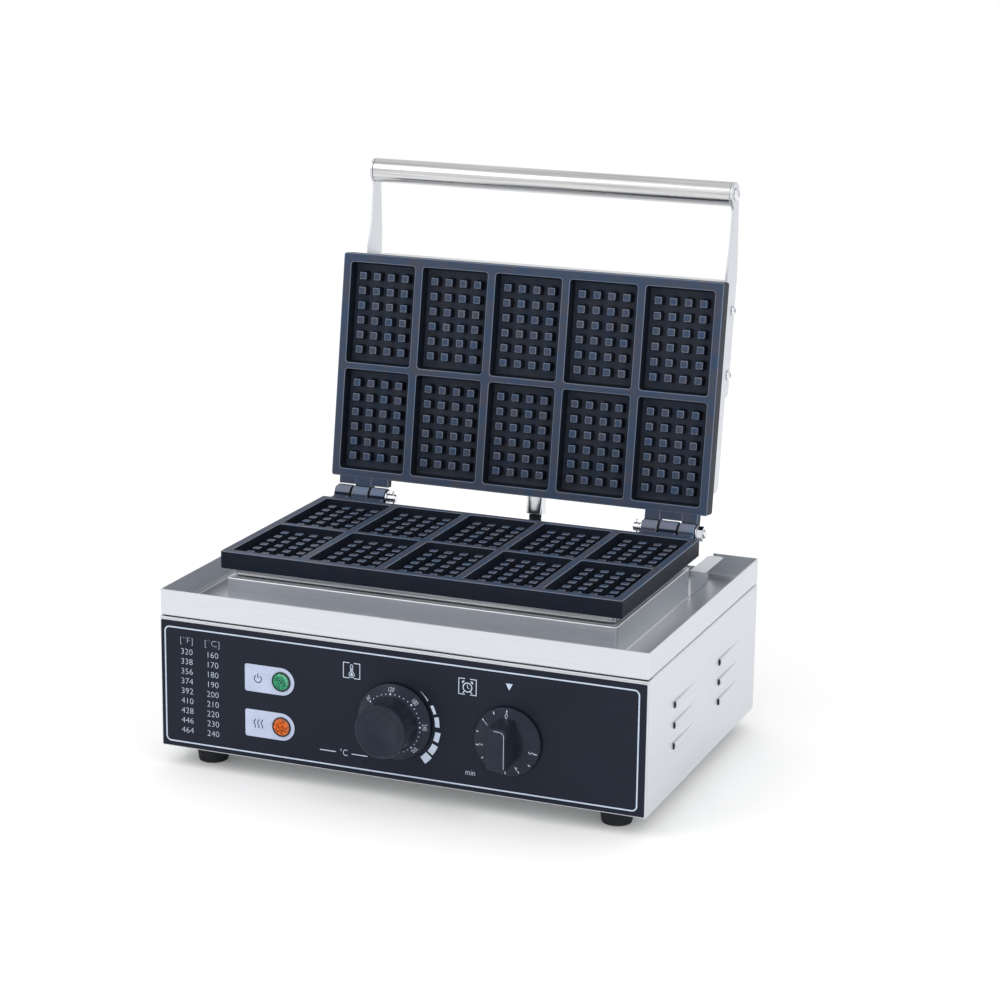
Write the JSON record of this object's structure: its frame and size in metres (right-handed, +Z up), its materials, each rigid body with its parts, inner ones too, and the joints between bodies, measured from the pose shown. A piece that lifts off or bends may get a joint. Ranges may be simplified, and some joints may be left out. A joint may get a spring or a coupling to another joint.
{
  "type": "waffle maker",
  "caption": "Counter-top belgian waffle maker with a stainless body, a drip moat round hinged non-stick plates, a lid raised by its bar handle, and a thermostat and a timer dial.",
  "frame": {"origin": "under the middle of the machine as it stands with its lid open, on the surface that its feet stand on", "axes": "+Z up, -Y towards the user and the dials, +X to the user's right"},
  "size_m": [0.456, 0.4002, 0.4971],
  "materials": {
    "steel": "satin stainless sheet",
    "bright_steel": "polished stainless tube",
    "chrome": "bright chrome",
    "non_stick": "cast aluminium with a dark non-stick coat",
    "fascia": "printed satin film",
    "dial": "moulded, fine matt",
    "rubber": "matt",
    "green_lens": "clear green, prismatic",
    "orange_lens": "clear orange, prismatic",
    "heater": "heat-tinted tube",
    "galvanised": "zinc coated",
    "black_plastic": "moulded",
    "ceramic": "glazed steatite",
    "copper": "drawn tube"
  },
  "bodies": {
    "base": {"body_wrap": "steel", "front_panel": "steel", "control_fascia": "fascia", "bottom_plate": "galvanised", "foot_front_left": "rubber", "foot_front_right": "rubber", "foot_rear_left": "rubber", "foot_rear_right": "rubber", "foot_screw_front_left": "galvanised", "foot_screw_front_right": "galvanised", "foot_screw_rear_left": "galvanised", "foot_screw_rear_right": "galvanised", "drip_tray": "steel", "rear_bracket_left": "steel", "rear_bracket_right": "steel", "lower_heater_pan": "galvanised", "plate_stud_1": "galvanised", "plate_stud_2": "galvanised", "plate_stud_3": "galvanised", "plate_stud_4": "galvanised", "hinge_pin_left": "chrome", "hinge_pin_right": "chrome", "conduit_riser": "galvanised", "conduit_hose": "rubber", "thermostat_body": "ceramic", "timer_body": "black_plastic", "thermostat_bulb": "copper", "power_lamp_lens": "green_lens", "power_lamp_body": "black_plastic", "heat_lamp_lens": "orange_lens", "heat_lamp_body": "black_plastic", "terminal_block": "ceramic", "cable_gland": "black_plastic", "lower_plate": "non_stick", "lower_heater": "heater"},
    "lid": {"upper_plate": "non_stick", "upper_heater": "heater", "lid_heat_shield": "galvanised", "lid_cover": "steel", "handle_arm_left": "steel", "handle_arm_right": "steel", "bar_screw_left": "chrome", "bar_screw_right": "chrome", "arm_screw_left_1": "chrome", "arm_screw_left_2": "chrome", "arm_screw_right_1": "chrome", "arm_screw_right_2": "chrome", "handle_bar": "bright_steel", "conduit_sleeve": "chrome"},
    "temperature_control": {"temperature_dial": "dial", "thermostat_shaft": "galvanised"},
    "timer_control": {"timer_dial": "dial", "timer_shaft": "galvanised"}
  },
  "joints": [
    {"name": "lid_hinge", "type": "hinge", "parent": "base", "child": "lid", "pos_m": [0, 0.10097, 0.1899], "axis": [1, 0, 0], "range_deg": [0, 98.2], "deforming": ["conduit_hose"]},
    {"name": "temperature_turn", "type": "hinge", "parent": "base", "child": "temperature_control", "pos_m": [0, -0.16603, 0.072], "axis": [0, -1, 0], "range_deg": [-90, 170]},
    {"name": "timer_turn", "type": "hinge", "parent": "base", "child": "timer_control", "pos_m": [0.1032, -0.16603, 0.069], "axis": [0, 1, 0], "range_deg": [0, 255]}
  ]
}
